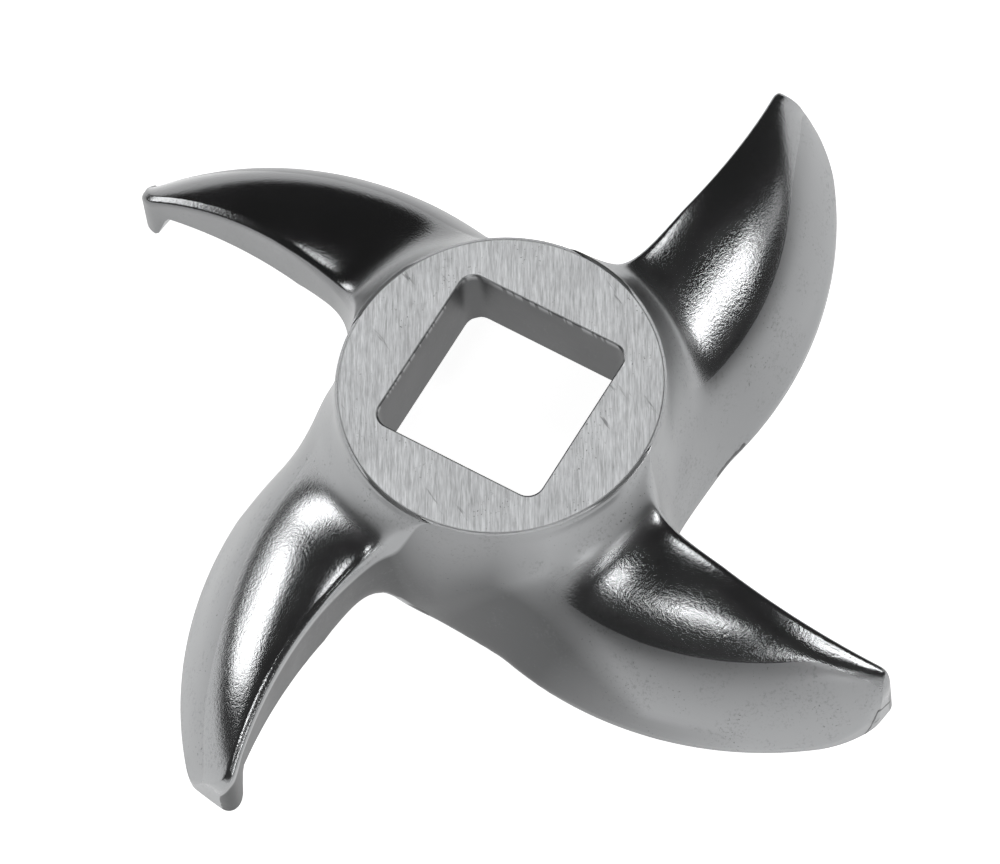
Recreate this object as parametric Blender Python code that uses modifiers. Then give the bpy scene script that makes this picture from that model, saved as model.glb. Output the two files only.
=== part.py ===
"""Meat grinder knife: one steel casting with four curved blades round a square drive hole.

The plate side, with the four cutting edges, lies on z = 0, and the face that the auger pushes on
looks up. The drive hole stands on the Z axis, with its flat sides along X and Y.
Every blade has a convex cutting edge that leans back to a crest, a hollow scoop behind the crest,
and a narrow rim over a steep concave wall. The casting is lofted from cuts at one radius each,
and the turned face, the drive hole and the hollow under the hub are joined to it or cut from it.
"""

import math

import bmesh
import bpy

# Driving dimensions in metres
BLADES = 4
SWEEP_DIAMETER = 0.0960
DRIVE_SQUARE = 0.0190
DRIVE_CORNER_RADIUS = 0.0017

# Heights, stacked up from the plate side
RELIEF_DEPTH = 0.0043
WALL_DEPTH = 0.0087
FACE_ABOVE_RIM = 0.0044
FACE_STEP = 0.0004
TIP_HEIGHT = 0.0063
HUB_HOLLOW_DEPTH = 0.0079

# Hub, outwards from the corners of the drive hole
FACE_CORNER_WALL = 0.00307
FACE_EDGE_CHAMFER = 0.0002
SHOULDER_WIDTH = 0.0003
SHOULDER_ROUNDING = 0.0006
CONE_WIDTH = 0.0024
CONE_FILLET = 0.0022
FLARE_REACH = 0.0080
FLARE_EASE = 2.2
FLARE_SLOPE = 6.0
HOLLOW_WALL = 0.0034
HOLLOW_DRAFT = 0.0010
HOLLOW_CORNER_RADIUS = 0.0012

# Cutting edge and the ground flank behind it
EDGE_ROOT_ANGLE = math.radians(-71.5)
EDGE_TIP_ANGLE = math.radians(-12.1)
EDGE_BOW = 0.0060
EDGE_LAND = 0.0010
FLANK_SLOPE = 2.2
FLANK_BEND = 0.0083
CREST_OFFSET = 0.0052
CREST_ROUNDING = 0.0011
PLATE_LAND = 0.0032
RELIEF_RUN = 0.0016

# Wall, rim and scoop
WALL_BOW = 0.0020
WALL_DRAFT = 0.0004
RIM_LAND = 0.0005
SCOOP_DEPTH = 0.0019
LEVEL_RIM = 0.0048

# Gaps between the blades, and the turned tips
GAP_ROOT_WIDTH = 0.0085
ROOT_FILLET = 0.0036
RIM_FILLET = 0.0042
TIP_WIDTH = 0.0060
TIP_END_HEIGHT = 0.0039
TIP_ROUNDING = 0.0020
TIP_CORNER_RADIUS = 0.0017
TIP_PAD = 0.0023
TIP_PAD_RUN = 0.0013

# Shares that say where a line lies between two sizes
CREST_SHARE = 0.78
GAP_CORNER_SHARE = 0.40
RIM_END_SHARE = 0.50
CORE_SHARE = 0.60
SINK_SHARE = 0.60
RELIEF_START_SHARE = 0.30
CREST_LIMIT_SHARES = (0.2, 0.8)
LAND_LIMIT_SHARES = (0.15, 0.6)
RELIEF_LIMIT_SHARES = (0.3, 0.8)

# How finely the loft and the turned shapes are divided
CONE_CUTS = 7
ROOT_CUTS = 7
BLADE_CUTS = 15
TIP_CUTS = 4
FLANK_ROWS = 6
SCOOP_ROWS = 9
WALL_ROWS = 2
TURNED_STEPS = 96
CORNER_STEPS = 6
OVERRUN = 0.0020
WELD = 1e-7

STEEL_COLOUR = (0.42, 0.43, 0.44, 1.0)
STEEL_METALLIC = 1.0
STEEL_ROUGHNESS = 0.38

# Sizes that follow from the driving dimensions
SWEEP_RADIUS = SWEEP_DIAMETER / 2
FACE_RADIUS = DRIVE_SQUARE / math.sqrt(2) + FACE_CORNER_WALL
SHOULDER_RADIUS = FACE_RADIUS + SHOULDER_WIDTH
ROOT_RADIUS = SHOULDER_RADIUS + CONE_WIDTH
HOLLOW_RADIUS = ROOT_RADIUS - HOLLOW_WALL
RIM_HEIGHT = RELIEF_DEPTH + WALL_DEPTH
FACE_HEIGHT = RIM_HEIGHT + FACE_ABOVE_RIM
SHOULDER_HEIGHT = FACE_HEIGHT - FACE_STEP
PITCH = math.tau / BLADES
WALL_ROOT_ANGLE = EDGE_ROOT_ANGLE + PITCH - GAP_ROOT_WIDTH / ROOT_RADIUS
WALL_TIP_ANGLE = EDGE_TIP_ANGLE + TIP_WIDTH / SWEEP_RADIUS
GAP_CORNER_ANGLE = WALL_ROOT_ANGLE + GAP_CORNER_SHARE * GAP_ROOT_WIDTH / ROOT_RADIUS
RIM_END_ANGLE = WALL_ROOT_ANGLE + RIM_END_SHARE * GAP_ROOT_WIDTH / ROOT_RADIUS


def clear_scene():
    for item in list(bpy.data.objects):
        bpy.data.objects.remove(item, do_unlink=True)


def new_collection(name):
    group = bpy.data.collections.new(name)
    bpy.context.scene.collection.children.link(group)
    return group


def new_object(name, mesh, group):
    item = bpy.data.objects.new(name, mesh)
    group.objects.link(item)
    return item


def steel():
    material = bpy.data.materials.new("ground cast steel")
    material.use_nodes = True
    shader = material.node_tree.nodes["Principled BSDF"]
    shader.inputs["Base Color"].default_value = STEEL_COLOUR
    shader.inputs["Metallic"].default_value = STEEL_METALLIC
    shader.inputs["Roughness"].default_value = STEEL_ROUGHNESS
    return material


def mix(start, end, share):
    return start + (end - start) * share


def soft_min(a, b, width):
    """The smaller of two heights, rounded over where they differ by less than a width."""
    overlap = max(width - abs(a - b), 0)
    return min(a, b) - overlap**2 / (4 * width)


def soft_max(a, b, width):
    return -soft_min(-a, -b, width)


def quarter_round(share):
    """A fillet's profile: 1 where it starts and 0 at its far end, with both ends tangent."""
    return 1 - math.sqrt(1 - (1 - min(max(share, 0), 1)) ** 2)


def held_between(angle, start, end, limit_shares):
    """An angle, kept between two shares of the way from one side of a cut to the other."""
    low, high = (mix(start, end, share) for share in limit_shares)
    return min(max(angle, low), high)


def polar(radius, angle):
    return radius * math.cos(angle), radius * math.sin(angle)


class Arc:
    """A plan curve through two polar points, bowed sideways from its chord by a named height."""

    def __init__(self, start, end, bow):
        (x0, y0), (x1, y1) = polar(*start), polar(*end)
        chord = math.hypot(x1 - x0, y1 - y0)
        self.radius = (chord**2 / 4 + bow**2) / (2 * bow)
        back = (self.radius - bow) / chord
        self.x = (x0 + x1) / 2 - (y1 - y0) * back
        self.y = (y0 + y1) / 2 + (x1 - x0) * back

    def depth(self, radius, angle):
        """How far inside the arc's circle a polar point lies."""
        x, y = polar(radius, angle)
        return self.radius - math.hypot(x - self.x, y - self.y)

    def angle(self, radius, inset=0):
        """Where the arc, moved inwards by an inset, crosses a circle about the Z axis."""
        far = math.hypot(self.x, self.y)
        cosine = (radius**2 + far**2 - (self.radius - inset) ** 2) / (2 * radius * far)
        return math.atan2(self.y, self.x) - math.acos(min(max(cosine, -1), 1))


EDGE = Arc((ROOT_RADIUS, EDGE_ROOT_ANGLE), (SWEEP_RADIUS, EDGE_TIP_ANGLE), EDGE_BOW)
WALL = Arc((ROOT_RADIUS, WALL_ROOT_ANGLE), (SWEEP_RADIUS, WALL_TIP_ANGLE), WALL_BOW)


def gap_corner_angle(radius):
    """The line on the hub cone where one blade's wall turns into the next blade's flank."""
    share = (radius - SHOULDER_RADIUS) / (ROOT_RADIUS - SHOULDER_RADIUS)
    return mix(RIM_END_ANGLE, GAP_CORNER_ANGLE, min(max(share, 0), 1))


def edge_angle(radius):
    """The cutting edge in plan, filleted into the circle at the root of the gap."""
    if radius <= ROOT_RADIUS:
        return gap_corner_angle(radius) - PITCH
    reach = EDGE_ROOT_ANGLE - (GAP_CORNER_ANGLE - PITCH)
    return EDGE.angle(radius) - reach * quarter_round((radius - ROOT_RADIUS) / ROOT_FILLET)


def tip_corner(radius):
    """How far the corner between the wall and the turned end is rounded back, as an angle."""
    share = (SWEEP_RADIUS - radius) / TIP_CORNER_RADIUS
    return TIP_CORNER_RADIUS * quarter_round(share) / radius


def wall_angle(radius):
    """The top of the wall in plan, filleted into the hub's shoulder."""
    reach = RIM_END_ANGLE - WALL.angle(SHOULDER_RADIUS)
    fillet = reach * quarter_round((radius - SHOULDER_RADIUS) / RIM_FILLET)
    if radius <= SHOULDER_RADIUS:
        return RIM_END_ANGLE
    return WALL.angle(radius) + fillet - tip_corner(radius)


def foot_angle(radius, relief):
    """The foot of the wall in plan, filleted into the circle at the root of the gap."""
    if radius <= ROOT_RADIUS:
        return gap_corner_angle(radius)
    reach = GAP_CORNER_ANGLE - WALL_ROOT_ANGLE
    fillet = reach * quarter_round((radius - ROOT_RADIUS) / ROOT_FILLET)
    draft = WALL_DRAFT * relief / RELIEF_DEPTH * (rim_height(radius) - relief) / WALL_DEPTH
    return WALL.angle(radius) + fillet - draft / radius - tip_corner(radius)


def rim_height(radius):
    """The rim runs level past the hub and then falls to the tip."""
    level_end = ROOT_RADIUS + LEVEL_RIM
    share = max(radius - level_end, 0) / (SWEEP_RADIUS - level_end)
    return mix(RIM_HEIGHT, TIP_HEIGHT, share**2)


def tip_limit(radius):
    """How high the casting may stand where its tip rounds down to the turned end."""
    share = (SWEEP_RADIUS - radius) / TIP_ROUNDING
    if share >= 1:
        return FACE_HEIGHT
    return mix(rim_height(SWEEP_RADIUS - TIP_ROUNDING), TIP_END_HEIGHT, quarter_round(share))


def hub_height(radius):
    """The steep cone from the shoulder down to the plate side at the root of the gaps."""
    return SHOULDER_HEIGHT * (ROOT_RADIUS - radius) / CONE_WIDTH


def joined_to_hub(radius, blade, depth):
    """A blade's height, flared up towards the hub and rounded over at the shoulder.

    The flare starts from nothing at the edge and climbs no faster there than its own slope.
    """
    share = min(max(1 - (radius - SHOULDER_RADIUS) / FLARE_REACH, 0), 1)
    lift = (SHOULDER_HEIGHT - blade) * share**FLARE_EASE
    room = depth * FLARE_SLOPE
    flared = blade + lift * room / (lift + room) if lift + room > 0 else blade
    height = soft_max(hub_height(radius), flared, CONE_FILLET)
    return soft_min(SHOULDER_HEIGHT, height, SHOULDER_ROUNDING)


def edge_depth(radius, angle):
    """How far a point lies behind the cutting edge at its own cut."""
    return max(EDGE.depth(radius, angle) - EDGE.depth(radius, edge_angle(radius)), 0)


def flank_height(depth):
    """The flank climbs steeply from the edge's land and eases off towards the crest."""
    bent = min(depth, CREST_OFFSET + CREST_ROUNDING)
    slope_there = FLANK_SLOPE - 2 * bent / FLANK_BEND
    return EDGE_LAND + FLANK_SLOPE * bent - bent**2 / FLANK_BEND + slope_there * (depth - bent)


def crest_offset(radius):
    """The crest keeps its distance from the edge, until the narrowing tip brings it closer."""
    room = CREST_SHARE * EDGE.depth(radius, wall_angle(radius))
    return soft_min(CREST_OFFSET, room, CREST_ROUNDING)


def scoop_height(radius, angle, crest, inner):
    """A shallow trough hung between the crest and the inner side of the rim."""
    across = (angle - crest) / (inner - crest)
    along = max(radius - ROOT_RADIUS - LEVEL_RIM, 0) / (SWEEP_RADIUS - ROOT_RADIUS - LEVEL_RIM)
    sag = 4 * SCOOP_DEPTH * (1 - along**2) * across * (1 - across)
    crest_height = flank_height(crest_offset(radius))
    return mix(crest_height, rim_height(radius), max(across, 0)) - sag


def top_height(radius, angle, crest, inner):
    depth = edge_depth(radius, angle)
    flank = flank_height(depth)
    scoop = scoop_height(radius, min(angle, inner), crest, inner)
    blade = min(soft_min(flank, scoop, CREST_ROUNDING), tip_limit(radius))
    return max(joined_to_hub(radius, blade, depth), EDGE_LAND)


def rim_top(radius):
    """The rim's height, filleted into the hub and rounded down at the tip."""
    depth = edge_depth(radius, wall_angle(radius))
    return joined_to_hub(radius, min(rim_height(radius), tip_limit(radius)), depth)


def relief_height(radius):
    """How far the plate side is hollowed behind the land: nothing at the hub or under the tip."""
    rise = (radius - ROOT_RADIUS) / (ROOT_FILLET * RELIEF_START_SHARE)
    fall = (SWEEP_RADIUS - TIP_PAD - radius) / TIP_PAD_RUN
    return RELIEF_DEPTH * min(max(min(rise, fall), 0), 1)


def spread(start, end, count):
    return [mix(start, end, step / count) for step in range(count)]


def cut_radii():
    """Radii of the cuts: closer together where the cone, the root fillet and the tip turn."""
    root_end = ROOT_RADIUS + ROOT_FILLET
    tip_start = SWEEP_RADIUS - TIP_ROUNDING
    radii = [CORE_SHARE * FACE_RADIUS]
    radii += spread(SHOULDER_RADIUS - SHOULDER_ROUNDING, ROOT_RADIUS, CONE_CUTS)
    radii += [mix(ROOT_RADIUS, root_end, (step / ROOT_CUTS) ** 2) for step in range(ROOT_CUTS)]
    radii += spread(root_end, tip_start, BLADE_CUTS)
    radii += [
        mix(SWEEP_RADIUS, tip_start, (1 - step / TIP_CUTS) ** 2) for step in range(TIP_CUTS + 1)
    ]
    return radii


def top_points(radius):
    """One cut from the foot of the edge over the flank, crest, scoop and rim, down to the wall's foot."""
    start = edge_angle(radius)
    end = wall_angle(radius)
    inner = end - RIM_LAND / radius
    crest = EDGE.angle(radius, crest_offset(radius))
    crest = held_between(crest, start, inner, CREST_LIMIT_SHARES)
    angles = spread(start, crest, FLANK_ROWS) + spread(crest, inner, SCOOP_ROWS) + [inner]
    points = [(angle, top_height(radius, angle, crest, inner)) for angle in angles]
    rim = (end, max(rim_top(radius), points[0][1]))
    if radius < ROOT_RADIUS:
        foot = (foot_angle(radius, 0), points[0][1])
        return [points[0]] + points + wall_points(rim, foot) + [foot]
    relief = relief_height(radius)
    foot = (foot_angle(radius, relief), relief)
    share = joined_to_hub(ROOT_RADIUS, EDGE_LAND, 0) / rim_top(ROOT_RADIUS)
    ledge = (mix(foot[0], end, share * relief / RELIEF_DEPTH), mix(relief, rim[1], share))
    return [(start, 0)] + points + wall_points(rim, ledge) + [foot]


def wall_points(rim, ledge):
    """The wall's straight lines down from the rim."""
    return [
        tuple(mix(high, low, step / WALL_ROWS) for high, low in zip(rim, ledge))
        for step in range(WALL_ROWS + 1)
    ]


def under_points(radius):
    """The same cut along the plate side: the land behind the edge, and the relief up to the wall's foot."""
    start = edge_angle(radius)
    relief = relief_height(radius)
    foot = foot_angle(radius, relief)
    land = EDGE.angle(radius, PLATE_LAND)
    roof = EDGE.angle(radius, PLATE_LAND + RELIEF_RUN)
    return [
        (start, 0),
        (held_between(land, start, foot, LAND_LIMIT_SHARES), 0),
        (held_between(roof, start, foot, RELIEF_LIMIT_SHARES), relief),
        (foot, relief),
    ]


def add_grid(mesh, rows, skip_ends, upwards):
    """Joins neighbouring cuts with four-sided faces, leaving out the end strips inside the hub ring."""
    for (low, skip), high in zip(zip(rows[:-1], skip_ends[:-1]), rows[1:]):
        first = 1 if skip else 0
        for place in range(first, len(low) - 1 - first):
            corners = [low[place], high[place], high[place + 1], low[place + 1]]
            mesh.faces.new(corners if upwards else corners[::-1])


def add_blade(mesh, turn):
    """One blade and its share of the hub ring, as a loft of cuts at growing radii."""
    tops = []
    unders = []
    radii = cut_radii()
    for radius in radii:
        for cuts, points in ((tops, top_points(radius)), (unders, under_points(radius))):
            cuts.append(
                [mesh.verts.new((*polar(radius, angle + turn), height)) for angle, height in points]
            )
    inside = [radius < ROOT_RADIUS for radius in radii]
    add_grid(mesh, tops, inside, True)
    add_grid(mesh, unders, [False] * len(radii), False)
    end = mesh.faces.new(tops[-1][::-1] + unders[-1][1:-1])
    bmesh.ops.triangulate(mesh, faces=[end])


def casting(group):
    """Four lofted blades, welded along the hub ring and closed over its middle."""
    mesh = bmesh.new()
    for blade in range(BLADES):
        add_blade(mesh, blade * PITCH)
    bmesh.ops.remove_doubles(mesh, verts=mesh.verts, dist=WELD)
    bmesh.ops.dissolve_degenerate(mesh, edges=mesh.edges, dist=WELD)
    bmesh.ops.holes_fill(mesh, edges=mesh.edges)
    bmesh.ops.recalc_face_normals(mesh, faces=mesh.faces)
    data = bpy.data.meshes.new("knife")
    mesh.to_mesh(data)
    mesh.free()
    return new_object("knife", data, group)


def turned(name, profile, group):
    """A closed turned shape from a half profile that starts and ends on the Z axis, top first."""
    data = bpy.data.meshes.new(name)
    points = [(radius, 0, height) for radius, height in profile]
    data.from_pydata(points, [(place, place + 1) for place in range(len(points) - 1)], [])
    item = new_object(name, data, group)
    screw = item.modifiers.new("turn", "SCREW")
    screw.steps = TURNED_STEPS
    screw.render_steps = TURNED_STEPS
    screw.use_merge_vertices = True
    screw.merge_threshold = WELD
    return item


def face_boss(group):
    """The turned face that the auger's shoulder bears on, sunk into the casting below it."""
    foot = SHOULDER_HEIGHT - SINK_SHARE * FACE_ABOVE_RIM
    edge = FACE_RADIUS - FACE_EDGE_CHAMFER
    profile = [(0, FACE_HEIGHT), (edge, FACE_HEIGHT)]
    profile += [(FACE_RADIUS, FACE_HEIGHT - FACE_EDGE_CHAMFER), (FACE_RADIUS, foot), (0, foot)]
    return turned("face boss", profile, group)


def hub_hollow(group):
    """The cast hollow under the hub: a rounded corner below its ceiling, and a wall that opens downwards."""
    corner = HOLLOW_RADIUS - HOLLOW_CORNER_RADIUS
    low = HUB_HOLLOW_DEPTH - HOLLOW_CORNER_RADIUS
    profile = [(0, HUB_HOLLOW_DEPTH)]
    for step in range(CORNER_STEPS + 1):
        turn = math.pi / 2 * step / CORNER_STEPS
        across = corner + HOLLOW_CORNER_RADIUS * math.sin(turn)
        profile.append((across, low + HOLLOW_CORNER_RADIUS * math.cos(turn)))
    mouth = HOLLOW_RADIUS + HOLLOW_DRAFT
    profile += [(mouth, 0), (mouth, -OVERRUN), (0, -OVERRUN)]
    return turned("hub hollow", profile, group)


def square_cutter(name, side, low, high, corner_radius, group):
    """An upright square block with rounded corners."""
    mesh = bmesh.new()
    bmesh.ops.create_cube(mesh, size=1)
    bmesh.ops.scale(mesh, vec=(side, side, high - low), verts=mesh.verts)
    bmesh.ops.translate(mesh, vec=(0, 0, (high + low) / 2), verts=mesh.verts)
    upright = [
        edge for edge in mesh.edges if edge.verts[0].co.to_2d() == edge.verts[1].co.to_2d()
    ]
    bmesh.ops.bevel(
        mesh,
        geom=upright,
        offset=corner_radius,
        segments=CORNER_STEPS,
        profile=0.5,
        affect="EDGES",
    )
    data = bpy.data.meshes.new(name)
    mesh.to_mesh(data)
    mesh.free()
    return new_object(name, data, group)


def combine(target, other, operation):
    step = target.modifiers.new(other.name, "BOOLEAN")
    step.operation = operation
    step.solver = "EXACT"
    step.object = other
    other.hide_render = True
    other.display_type = "WIRE"


def build():
    clear_scene()
    parts = new_collection("meat grinder knife")
    cutters = new_collection("joined and cut shapes")
    cutters.hide_render = True
    knife = casting(parts)
    combine(knife, face_boss(cutters), "UNION")
    combine(knife, hub_hollow(cutters), "DIFFERENCE")
    low = -OVERRUN
    high = FACE_HEIGHT + OVERRUN
    drive = square_cutter("drive square", DRIVE_SQUARE, low, high, DRIVE_CORNER_RADIUS, cutters)
    combine(knife, drive, "DIFFERENCE")
    knife.data.shade_smooth()
    knife.data.set_sharp_from_angle(angle=math.radians(35))
    knife.data.materials.append(steel())


build()
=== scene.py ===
# %% [markdown] # A meat grinder knife The real object is one small steel casting, about 96 mm
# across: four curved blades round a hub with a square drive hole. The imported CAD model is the
# frame, so everything here is in metres, +Z up, with the cutting edges lying on z = 0.

import math

import bmesh
import bpy
import numpy as np
from mathutils import Matrix, Vector


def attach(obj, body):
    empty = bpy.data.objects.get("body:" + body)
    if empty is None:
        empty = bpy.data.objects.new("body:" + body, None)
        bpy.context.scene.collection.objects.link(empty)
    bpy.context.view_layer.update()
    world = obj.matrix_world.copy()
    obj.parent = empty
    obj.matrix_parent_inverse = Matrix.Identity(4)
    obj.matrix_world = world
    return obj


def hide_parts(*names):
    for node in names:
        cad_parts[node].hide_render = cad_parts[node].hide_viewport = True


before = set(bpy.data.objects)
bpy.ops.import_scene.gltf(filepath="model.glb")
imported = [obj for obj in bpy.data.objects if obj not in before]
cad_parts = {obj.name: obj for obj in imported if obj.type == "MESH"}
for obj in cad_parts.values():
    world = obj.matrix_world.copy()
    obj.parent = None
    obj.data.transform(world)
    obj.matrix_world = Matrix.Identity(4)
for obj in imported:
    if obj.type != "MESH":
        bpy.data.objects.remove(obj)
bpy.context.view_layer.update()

# %% [markdown]
# ## Camera
# The photograph looks down at the knife from about 64 degrees above the table, about a metre away
# through a long lens, so the perspective is nearly flat. The turn could be dialled in as angles,
# but the camera's own three axes, right, up and back, keep the small roll of the picture exact.

# %% Place the camera
CAMERA_PLACE = Vector((-0.35239, -0.27954, 0.91703))
CAMERA_RIGHT = Vector((0.50894, -0.85816, -0.06738))
CAMERA_UP = Vector((0.78793, 0.43291, 0.43790))
CAMERA_BACK = Vector((-0.34662, -0.27595, 0.89649))
LENS_MM = 360
SENSOR_MM = 36
NEAREST_SEEN = 0.01


def place_camera():
    data = bpy.data.cameras.new("camera")
    data.lens = LENS_MM
    data.sensor_width = SENSOR_MM
    data.clip_start = NEAREST_SEEN
    camera = bpy.data.objects.new("camera", data)
    turn = Matrix((CAMERA_RIGHT, CAMERA_UP, CAMERA_BACK)).transposed()
    camera.matrix_world = Matrix.Translation(CAMERA_PLACE) @ turn.to_4x4()
    bpy.context.scene.collection.objects.link(camera)
    bpy.context.scene.camera = camera
    return camera


camera = place_camera()
print("camera height in mm:", round(1000 * camera.matrix_world.translation.z))

# %% [markdown]
# ## The sizes of the knife
# Most of these are the CAD source's own sizes: the sweep of the blades, the square drive, the
# heights above the plate side, and the run of a blade's edge, rim and wall. The step under the
# face and the rim's rounding are finer here. The outline could be traced from a picture, but from
# named sizes every surface can be worked out, and a wrong length is mended in one place.

# %% Name the sizes of the hub
BLADES = 4
PITCH = math.tau / BLADES
DRIVE_SQUARE = 0.0190
DRIVE_CORNER = 0.0017
FACE_HEIGHT = 0.0174
FACE_RADIUS = 0.016505
FACE_CHAMFER = 0.0001
SHOULDER_HEIGHT = 0.0173
SHOULDER_RADIUS = 0.016805
SHOULDER_ROUNDING = 0.0006
ROOT_RADIUS = 0.019205
CONE_WIDTH = 0.0024
CONE_FILLET = 0.0022
FLARE_EASE = 2.2
FLARE_SLOPE = 6.0
HOLLOW_DEPTH = 0.0079
HOLLOW_RADIUS = 0.015805
HOLLOW_CORNER = 0.0012
HOLLOW_DRAFT = 0.0010
NEARLY_NOTHING = 1e-9
print("blade pitch in degrees:", round(math.degrees(PITCH)))

# %% Name the sizes that all blades share
SWEEP_RADIUS = 0.0480
EDGE_ROOT_ANGLE = math.radians(-71.5)
EDGE_TIP_ANGLE = math.radians(-12.1)
EDGE_BOW = 0.0060
EDGE_LAND = 0.0010
CREST_SLOPE = 0.95
CREST_OFFSET = 0.0052
CREST_ROUNDING = 0.0011
PLATE_LAND = 0.0032
RELIEF_DEPTH = 0.0043
RELIEF_RUN = 0.0016
RELIEF_ROOT_SHARE = 0.3
WALL_BOW = 0.0020
WALL_DRAFT = 0.0004
RIM_HEIGHT = 0.0130
RIM_LAND = 0.0008
RIM_ROUNDING = 0.0003
RIM_SLOPE = math.tan(math.radians(20))
RIM_BLEND = 0.0002
LEVEL_RIM = 0.0048
LEVEL_END = ROOT_RADIUS + LEVEL_RIM
GAP_ROOT_WIDTH = 0.0085
ROOT_FILLET = 0.0036
RIM_FILLET = 0.0042
TIP_WIDTH = 0.0060
TIP_HEIGHT = 0.0063
TIP_END_HEIGHT = 0.0039
TIP_ROUNDING = 0.0020
TIP_CORNER = 0.0017
TIP_PAD = 0.0023
TIP_PAD_RUN = 0.0013
GAP_CORNER_SHARE = 0.40
RIM_END_SHARE = 0.50
WALL_DEPTH = RIM_HEIGHT - RELIEF_DEPTH
WALL_ROOT_ANGLE = EDGE_ROOT_ANGLE + PITCH - GAP_ROOT_WIDTH / ROOT_RADIUS
WALL_TIP_ANGLE = EDGE_TIP_ANGLE + TIP_WIDTH / SWEEP_RADIUS
GAP_CORNER_ANGLE = WALL_ROOT_ANGLE + GAP_CORNER_SHARE * GAP_ROOT_WIDTH / ROOT_RADIUS
RIM_END_ANGLE = WALL_ROOT_ANGLE + RIM_END_SHARE * GAP_ROOT_WIDTH / ROOT_RADIUS
print("wall height in mm:", round(1000 * WALL_DEPTH, 2))

# %% [markdown]
# ## Four blades, each a little different
# The four blades come from one pattern, but each is ground by hand, so their crests, flanks and
# ends differ by a millimetre or so. One blade could be made and turned three times. Here each has
# a short list of its own sizes, read from where its highlights lie, because on polished steel a
# small difference in slope moves a highlight a long way.

# %% List what each blade has of its own


class Blade:
    """What one blade has of its own after casting and grinding.

    Turn counts quarter turns round the hub. Crest is the crest's distance from the edge, and tip
    the share of the width that it takes where the blade is narrow. Slope is the flank's at the
    edge. Swell is how far the back rises over a straight line from crest to rim. Bend is how
    softly the crest turns, and flare how far the hub's slope runs out. Trim and corner are the two
    radii at the turned end, and bevel is the width of the rim's slope. The last entry holds the
    shares of painted shade at the root, on the wall and on the back: darkening that stands in for
    the shadowed table that root and wall mirror, and for the dark room that the back mirrors.
    """

    def __init__(self, turn, **own):
        self.turn = turn
        self.dark_root, self.dark_wall, self.painted_shade_back = own.pop("dark")
        vars(self).update(own)


# In the photograph these are the blades at the upper right, lower right, lower left and upper left.
OWN_BLADES = [
    Blade(
        0, crest=0.0044, tip=0.52, slope=2.2, swell=0.0008, bend=0.0006, flare=0.0048,
        trim=0.0030, corner=0.0017, bevel=0.0, dark=(0.20, 0.30, 0.25),
    ),
    Blade(
        3, crest=0.0056, tip=0.78, slope=2.2, swell=0.0005, bend=0.0008, flare=0.0058,
        trim=0.0026, corner=0.0017, bevel=0.0003, dark=(0.85, 0.30, 0.20),
    ),
    Blade(
        2, crest=0.0048, tip=0.42, slope=2.2, swell=0.0006, bend=0.0012, flare=0.0058,
        trim=0.0008, corner=0.0017, bevel=0.0004, dark=(0.10, 0.90, 0.05),
    ),
    Blade(
        1, crest=0.0040, tip=0.40, slope=2.9, swell=0.0004, bend=0.0034, flare=0.0066,
        trim=0.0014, corner=0.0026, bevel=0.0005, dark=(0.45, 0.10, 0.55),
    ),
]
print("blades:", len(OWN_BLADES))

# %% [markdown]
# ## Tools for blending
# A ground casting has no sharp steps. A bevel could round the edges of a finished mesh, but here
# the heights themselves are blended: the smaller or the larger of two formulas, with a short
# parabola where they meet. That needs no clean-up afterwards.

# %% Define the blends


def mix(start, end, share):
    return start + (end - start) * share


def clamp(value):
    return np.clip(value, 0, 1)


def soft_min(a, b, width):
    """The smaller of two values, less a parabola where they differ by less than the width."""
    overlap = np.maximum(width - np.abs(a - b), 0)
    return np.minimum(a, b) - overlap**2 / (4 * width)


def soft_max(a, b, width):
    """The larger of two values, rounded over in the same way."""
    return -soft_min(-a, -b, width)


def quarter_round(share):
    """One minus the height of a quarter circle: 1 at the start, 0 at the far end."""
    return 1 - np.sqrt(1 - (1 - clamp(share)) ** 2)


print("soft minimum of 1 and 1:", soft_min(1, 1, 1))

# %% [markdown]
# ## Curves in plan
# Seen from above, a blade lies between two arcs: the convex cutting edge and the concave wall.
# They could be Bezier curves, but a circle through two points with a bow answers what the grid
# asks: where does this arc cross a circle about the hub's axis?

# %% Work out arcs


class Arc:
    """A circle through two polar points: its radius is chord squared / 8 bow + bow / 2."""

    def __init__(self, start, end, bow):
        (r0, a0), (r1, a1) = start, end
        p0 = np.array((r0 * math.cos(a0), r0 * math.sin(a0)))
        p1 = np.array((r1 * math.cos(a1), r1 * math.sin(a1)))
        chord = np.linalg.norm(p1 - p0)
        self.radius = (chord**2 / 4 + bow**2) / (2 * bow)
        side = np.array((-(p1 - p0)[1], (p1 - p0)[0]))
        self.centre = (p0 + p1) / 2 + side * (self.radius - bow) / chord

    def depth(self, radius, angle):
        """The circle's radius less a polar point's distance from its centre."""
        x = radius * np.cos(angle) - self.centre[0]
        y = radius * np.sin(angle) - self.centre[1]
        return self.radius - np.hypot(x, y)

    def angle(self, radius, inset=0):
        """The law of cosines in the triangle of hub axis, arc centre and crossing point."""
        far = np.hypot(*self.centre)
        cosine = (radius**2 + far**2 - (self.radius - inset) ** 2) / (2 * radius * far)
        return math.atan2(self.centre[1], self.centre[0]) - np.arccos(np.clip(cosine, -1, 1))


EDGE = Arc((ROOT_RADIUS, EDGE_ROOT_ANGLE), (SWEEP_RADIUS, EDGE_TIP_ANGLE), EDGE_BOW)
WALL = Arc((ROOT_RADIUS, WALL_ROOT_ANGLE), (SWEEP_RADIUS, WALL_TIP_ANGLE), WALL_BOW)
print("radii of edge and wall in mm:", round(1000 * EDGE.radius, 1), round(1000 * WALL.radius, 1))

# %% [markdown]
# ## From arcs to a blade's outline
# The bare arcs meet the hub at a sharp corner, where the casting has fillets, and end in a point,
# where the real end is turned and worn round. A bevel could round these corners. Here each fillet
# is a quarter circle that is added to the arc's angle and fades out over a short run.

# %% Fillet the outline


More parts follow.
